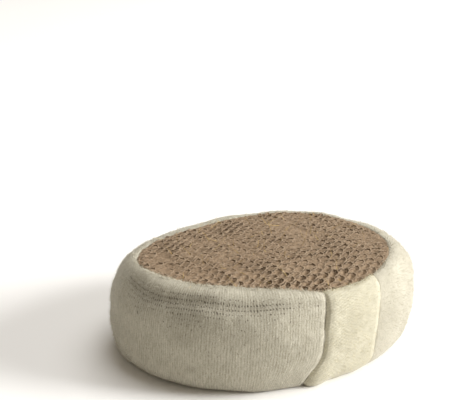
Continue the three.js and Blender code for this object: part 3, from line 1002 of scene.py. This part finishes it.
def knit_tree():
    """Lays knitted courses of yarn on a surface."""
    numbers = ("Course pitch", "Wale pitch", "Slant", "Loop height", "Loop bulge", "Leg spread", "Loop depth",
               "Lean", "Head lift", "Yarn radius", "Twist pitch", "Height over ground", "Unevenness", "Seed")
    tree, given, result = new_tree("purl_knit", {
        "Courses": ("Int", 1), "Stitches": ("Int", 1), **{name: ("Float", 0.0) for name in numbers},
        "Yarn": ("Material", None)})
    value = given.outputs

    def hit_below(x, y, inputs=None):
        """What lies straight below a point of the plan."""
        above = add(tree, "ShaderNodeCombineXYZ", [x, y, RAY_START])
        return add(tree, "GeometryNodeRaycast", {
            "Target Geometry": value["Geometry"], "Source Position": above, "Ray Direction": (0, 0, -1),
            "Ray Length": 2 * RAY_START, **(inputs or {})}, data_type="FLOAT").outputs

    # Straight yarns side by side.
    step = add(tree, "ShaderNodeMath", [value["Wale pitch"], STITCH_STEPS], operation="DIVIDE")
    points = add(tree, "ShaderNodeMath", [value["Stitches"], STITCH_STEPS, 1.0], operation="MULTIPLY_ADD")
    long_way = add(tree, "ShaderNodeMath", [value["Stitches"], value["Wale pitch"]], operation="MULTIPLY")
    half_y = add(tree, "ShaderNodeMath", [long_way, -0.5], operation="MULTIPLY")
    gaps = add(tree, "ShaderNodeMath", [value["Courses"], -1.0], operation="ADD")
    wide_way = add(tree, "ShaderNodeMath", [gaps, value["Course pitch"]], operation="MULTIPLY")
    half_x = add(tree, "ShaderNodeMath", [wide_way, -0.5], operation="MULTIPLY")
    yarn = add(tree, "GeometryNodeMeshLine", {
        "Count": points, "Start Location": add(tree, "ShaderNodeCombineXYZ", [0.0, half_y]),
        "Offset": add(tree, "ShaderNodeCombineXYZ", [0.0, step])})
    rows = add(tree, "GeometryNodeMeshLine", {
        "Count": value["Courses"], "Start Location": add(tree, "ShaderNodeCombineXYZ", [half_x]),
        "Offset": add(tree, "ShaderNodeCombineXYZ", [value["Course pitch"]])})
    laid = add(tree, "GeometryNodeInstanceOnPoints", {"Points": rows, "Instance": yarn})
    courses = add(tree, "GeometryNodeRealizeInstances", [laid])

    # The formula of the stitch, in plan and in height.
    position = add(tree, "GeometryNodeInputPosition")
    flat = add(tree, "ShaderNodeSeparateXYZ", [position]).outputs
    turn = add(tree, "ShaderNodeMath", [flat["Y"], 2 * math.pi], operation="MULTIPLY")
    phase = add(tree, "ShaderNodeMath", [turn, value["Wale pitch"]], operation="DIVIDE")
    double = add(tree, "ShaderNodeMath", [phase, 2.0], operation="MULTIPLY")
    swing = add(tree, "ShaderNodeMath", [phase], operation="COSINE")
    reach = add(tree, "ShaderNodeMath", [swing, value["Loop height"]], operation="MULTIPLY")
    x = add(tree, "ShaderNodeMath", [flat["Y"], value["Slant"], flat["X"]], operation="MULTIPLY_ADD")
    x = add(tree, "ShaderNodeMath", [x, reach], operation="ADD")
    back = add(tree, "ShaderNodeMath", [double], operation="SINE")
    y = add(tree, "ShaderNodeMath", [back, value["Loop bulge"], flat["Y"]], operation="MULTIPLY_ADD")
    legs = add(tree, "ShaderNodeMath", [phase], operation="SINE")
    y = add(tree, "ShaderNodeMath", [legs, value["Leg spread"], y], operation="MULTIPLY_ADD")
    y = add(tree, "ShaderNodeMath", [reach, value["Lean"], y], operation="MULTIPLY_ADD")
    dive = add(tree, "ShaderNodeMath", [double], operation="COSINE")
    lift = add(tree, "ShaderNodeMath", [dive, value["Loop depth"]], operation="MULTIPLY")
    lift = add(tree, "ShaderNodeMath", [swing, value["Head lift"], lift], operation="MULTIPLY_ADD")

    # Strayed a little, and laid on the surface.
    bent = add(tree, "ShaderNodeCombineXYZ", [x, y])
    stray = stray_of(tree, bent, value["Unevenness"], value["Seed"])
    loose = add(tree, "ShaderNodeVectorMath", [bent, stray], operation="ADD")
    loosely = add(tree, "ShaderNodeSeparateXYZ", [loose]).outputs
    sink = add(tree, "GeometryNodeInputNamedAttribute", {"Name": "sink"}, data_type="FLOAT")
    hit = hit_below(loosely["X"], loosely["Y"], {"Attribute": sink})
    ground_z = add(tree, "ShaderNodeSeparateXYZ", [hit["Hit Position"]]).outputs["Z"]
    z = add(tree, "ShaderNodeMath", [ground_z, value["Height over ground"]], operation="ADD")
    rise = add(tree, "ShaderNodeMath", [lift, loosely["Z"]], operation="ADD")
    z = add(tree, "ShaderNodeMath", [z, rise], operation="ADD")
    z = add(tree, "ShaderNodeMath", [z, hit["Attribute"]], operation="SUBTRACT")
    knitted = add(tree, "GeometryNodeSetPosition", {
        "Geometry": courses, "Position": add(tree, "ShaderNodeCombineXYZ", [loosely["X"], loosely["Y"], z])})
    under = hit_below(flat["X"], flat["Y"])
    missed = add(tree, "FunctionNodeBooleanMath", [under["Is Hit"]], operation="NOT")
    cut = add(tree, "GeometryNodeDeleteGeometry", {"Geometry": knitted, "Selection": missed}, domain="POINT")

    # A yarn of uneven thickness, twisted as it goes.
    lines = add(tree, "GeometryNodeMeshToCurve", [cut])
    length = add(tree, "GeometryNodeSplineParameter").outputs["Length"]
    thick = add(tree, "ShaderNodeTexNoise", {"Vector": position, "Scale": 1 / (3 * MM), "Detail": 1.0})
    thick = add(tree, "ShaderNodeMath", [thick, 0.9, 0.55], operation="MULTIPLY_ADD")
    sized = add(tree, "GeometryNodeSetCurveRadius", {"Curve": lines, "Radius": thick})
    turns = add(tree, "ShaderNodeMath", [length, 2 * math.pi], operation="MULTIPLY")
    twist = add(tree, "ShaderNodeMath", [turns, value["Twist pitch"]], operation="DIVIDE")
    twisted = add(tree, "GeometryNodeSetCurveTilt", {"Curve": sized, "Tilt": twist})
    marked = add(tree, "GeometryNodeStoreNamedAttribute", {
        "Geometry": twisted, "Name": "along", "Value": length}, data_type="FLOAT", domain="POINT")

    # Its section: a circle drawn in at the waist, where the two plies meet.
    ring = add(tree, "GeometryNodeCurvePrimitiveCircle", {"Resolution": 8, "Radius": 1.0})
    sideways = add(tree, "ShaderNodeMath", [flat["X"]], operation="ABSOLUTE")
    waist = add(tree, "ShaderNodeMath", [sideways, 0.36, 0.64], operation="MULTIPLY_ADD")
    radius = add(tree, "ShaderNodeMath", [waist, value["Yarn radius"]], operation="MULTIPLY")
    scaled = add(tree, "ShaderNodeVectorMath", {0: position, "Scale": radius}, operation="SCALE")
    section = add(tree, "GeometryNodeSetPosition", {"Geometry": ring, "Position": scaled})
    girth = add(tree, "GeometryNodeSplineParameter").outputs["Factor"]
    section = add(tree, "GeometryNodeStoreNamedAttribute", {
        "Geometry": section, "Name": "around", "Value": girth}, data_type="FLOAT", domain="POINT")
    tube = add(tree, "GeometryNodeCurveToMesh", {
        "Curve": marked, "Profile Curve": section, "Fill Caps": True})
    soft = add(tree, "GeometryNodeSetShadeSmooth", [tube])
    end_tree(tree, soft, value["Yarn"], result)
    return tree


loops = knit_tree()
print("knit tree:", len(loops.nodes), "nodes")

# %% Knit
knit = grow("sisal_knit", ground, loops, {
    **LATTICE, "Courses": 25, "Stitches": 27, "Loop height": 3.0 * MM, "Loop bulge": 0.5 * MM,
    "Leg spread": 0.5 * MM, "Loop depth": -0.2 * MM, "Head lift": 0.38 * MM, "Yarn radius": 0.42 * MM,
    "Twist pitch": 3.4 * MM, "Height over ground": -0.02 * MM, "Yarn": sisal_yarn})
print("sisal_knit:", triangles_of(knit), "triangles")

# %% [markdown]
# ## Loose fibres
# Cotton terry has a short nap of fibre ends and longer loops of pile along the lip, and sisal sheds stiff
# hairs. They could be a hair system, but hair is lost when the pieces are kept as plain meshes. So each fibre
# is a thin three-sided cone, bent a little, set on the cloth by Geometry Nodes where the cloth's "nap" number
# asks for it. Real fibre ends are finer than this; they are drawn as coarse as they need to be to show.

# %% Fibre tree
def fibre_tree():
    """Sets thin bent cones on a surface. Nap everywhere is added to the surface's own nap."""
    tree, given, result = new_tree("loose_fibres", {
        "Density": ("Float", 0.0), "Nap everywhere": ("Float", 0.0), "Facing": ("Float", -2.0),
        "Length": ("Float", 0.0), "Radius": ("Float", 0.0), "Joints": ("Int", 1), "Lean": ("Float", 0.0),
        "Curl": ("Float", 0.0), "Seed": ("Int", 0), "Fibre": ("Material", None)})
    value = given.outputs

    # Where the fibres stand.
    nap, bend = (add(tree, "GeometryNodeInputNamedAttribute", {"Name": name}, data_type="FLOAT")
                 for name in ("nap", "reach"))
    share = add(tree, "ShaderNodeMath", [nap, value["Nap everywhere"]], operation="ADD")
    share = add(tree, "ShaderNodeMath", [share, 0.0], operation="MAXIMUM")
    amount = add(tree, "ShaderNodeMath", [value["Density"], share], operation="MULTIPLY")
    normal = add(tree, "GeometryNodeInputNormal")
    up = add(tree, "ShaderNodeSeparateXYZ", [normal]).outputs["Z"]
    faces = add(tree, "FunctionNodeCompare", [up, value["Facing"]], operation="GREATER_THAN")
    roots = add(tree, "GeometryNodeDistributePointsOnFaces", {
        "Mesh": value["Geometry"], "Selection": faces, "Density": amount, "Seed": value["Seed"]}).outputs

    # One fibre, with its share of the way to the tip.
    cone = add(tree, "GeometryNodeMeshCone", {
        "Vertices": 3, "Side Segments": value["Joints"], "Radius Top": 0.0, "Radius Bottom": value["Radius"],
        "Depth": value["Length"]})
    position = add(tree, "GeometryNodeInputPosition")
    height = add(tree, "ShaderNodeSeparateXYZ", [position]).outputs["Z"]
    reach = add(tree, "ShaderNodeMath", [height, value["Length"]], operation="DIVIDE")
    fibre = add(tree, "GeometryNodeStoreNamedAttribute", {
        "Geometry": cone, "Name": "reach", "Value": reach}, data_type="FLOAT", domain="POINT")

    # Each one leans its own way, has its own length, and curls more towards its tip.
    tilt = add(tree, "FunctionNodeRandomValue", {
        0: (-1, -1, -3.1), 1: (1, 1, 3.1), "Seed": 11}, data_type="FLOAT_VECTOR")
    leaning = add(tree, "ShaderNodeVectorMath", {0: tilt, "Scale": value["Lean"]}, operation="SCALE")
    turned = add(tree, "FunctionNodeRotateRotation", {
        "Rotation": roots["Rotation"], "Rotate By": leaning}, rotation_space="LOCAL")
    size = add(tree, "FunctionNodeRandomValue", {2: 0.45, 3: 1.25, "Seed": 12}, data_type="FLOAT")
    grown = add(tree, "GeometryNodeInstanceOnPoints", {
        "Points": roots["Points"], "Instance": fibre, "Rotation": turned,
        "Scale": add(tree, "ShaderNodeCombineXYZ", [1.0, 1.0, size])})
    real = add(tree, "GeometryNodeRealizeInstances", [grown])
    curl = add(tree, "ShaderNodeMath", [value["Curl"], bend], operation="MULTIPLY")
    pull = wobble(tree, position, 2.5 * MM, 1.0, curl)
    bent = add(tree, "GeometryNodeSetPosition", {"Geometry": real, "Offset": pull})
    end_tree(tree, bent, value["Fibre"], result)
    return tree


fibres = fibre_tree()
print("fibre tree:", len(fibres.nodes), "nodes")

# %% Fibres on each cloth
band_nap = grow("terry_band_nap", terry_band, fibres, {
    "Density": 1.0e6, "Length": 1.3 * MM, "Radius": 0.045 * MM, "Lean": 0.7, "Curl": 0.6 * MM, "Seed": 5,
    "Fibre": cotton_fibre})
panel_nap = grow("joining_panel_nap", panel, fibres, {
    "Density": 1.1e6, "Length": 1.3 * MM, "Radius": 0.045 * MM, "Lean": 0.7, "Curl": 0.6 * MM, "Seed": 6,
    "Fibre": warm_fibre})
LIP_TUFTS = {"Nap everywhere": -3.2, "Facing": 0.4, "Length": 1.9 * MM, "Radius": 0.12 * MM, "Joints": 3,
             "Lean": 0.6, "Curl": 1.6 * MM}
band_tufts = grow("terry_band_lip_tufts", terry_band, fibres, {
    **LIP_TUFTS, "Density": 0.7e6, "Seed": 15, "Fibre": cotton_fibre})
panel_tufts = grow("joining_panel_lip_tufts", panel, fibres, {
    **LIP_TUFTS, "Density": 0.7e6, "Seed": 16, "Fibre": warm_fibre})
sisal_hairs = grow("sisal_knit_hairs", knit, fibres, {
    "Density": 1.2e6, "Nap everywhere": 1.0, "Facing": 0.3, "Length": 1.6 * MM, "Radius": 0.04 * MM,
    "Joints": 2, "Lean": 1.2, "Curl": 1.5 * MM, "Seed": 7, "Fibre": sisal_fibre})
golden_hairs = grow("stray_golden_fibres", ground, fibres, {
    "Density": 9.0e3, "Nap everywhere": 1.0, "Facing": 0.5, "Length": 9 * MM, "Radius": 0.09 * MM,
    "Joints": 9, "Lean": 1.1, "Curl": 5 * MM, "Seed": 8, "Fibre": golden_fibre})
for piece in (band_nap, panel_nap, band_tufts, panel_tufts, sisal_hairs, golden_hairs):
    print(piece.name + ":", triangles_of(piece), "triangles")

# %% [markdown]
# ## Each piece in place of its solid
# Every finished piece rides on the one body and takes the place of a solid, which is hidden.

for piece, node, slot in (
        (foam_pad, "foam_core", "foam"), (back_panel, "back_panel", "terry"),
        (terry_band, "side_band", "terry"), (panel, "joining_panel", "panel_terry"),
        (ground, "sisal_face", "sisal_knit"), (knit, "sisal_face", "sisal_knit"),
        (band_nap, "side_band", "terry"), (panel_nap, "joining_panel", "panel_terry"),
        (band_tufts, "side_band", "terry"), (panel_tufts, "joining_panel", "panel_terry"),
        (sisal_hairs, "sisal_face", "sisal_knit"), (golden_hairs, "sisal_face", "sisal_knit")):
    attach(piece, "root")
    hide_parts(node)
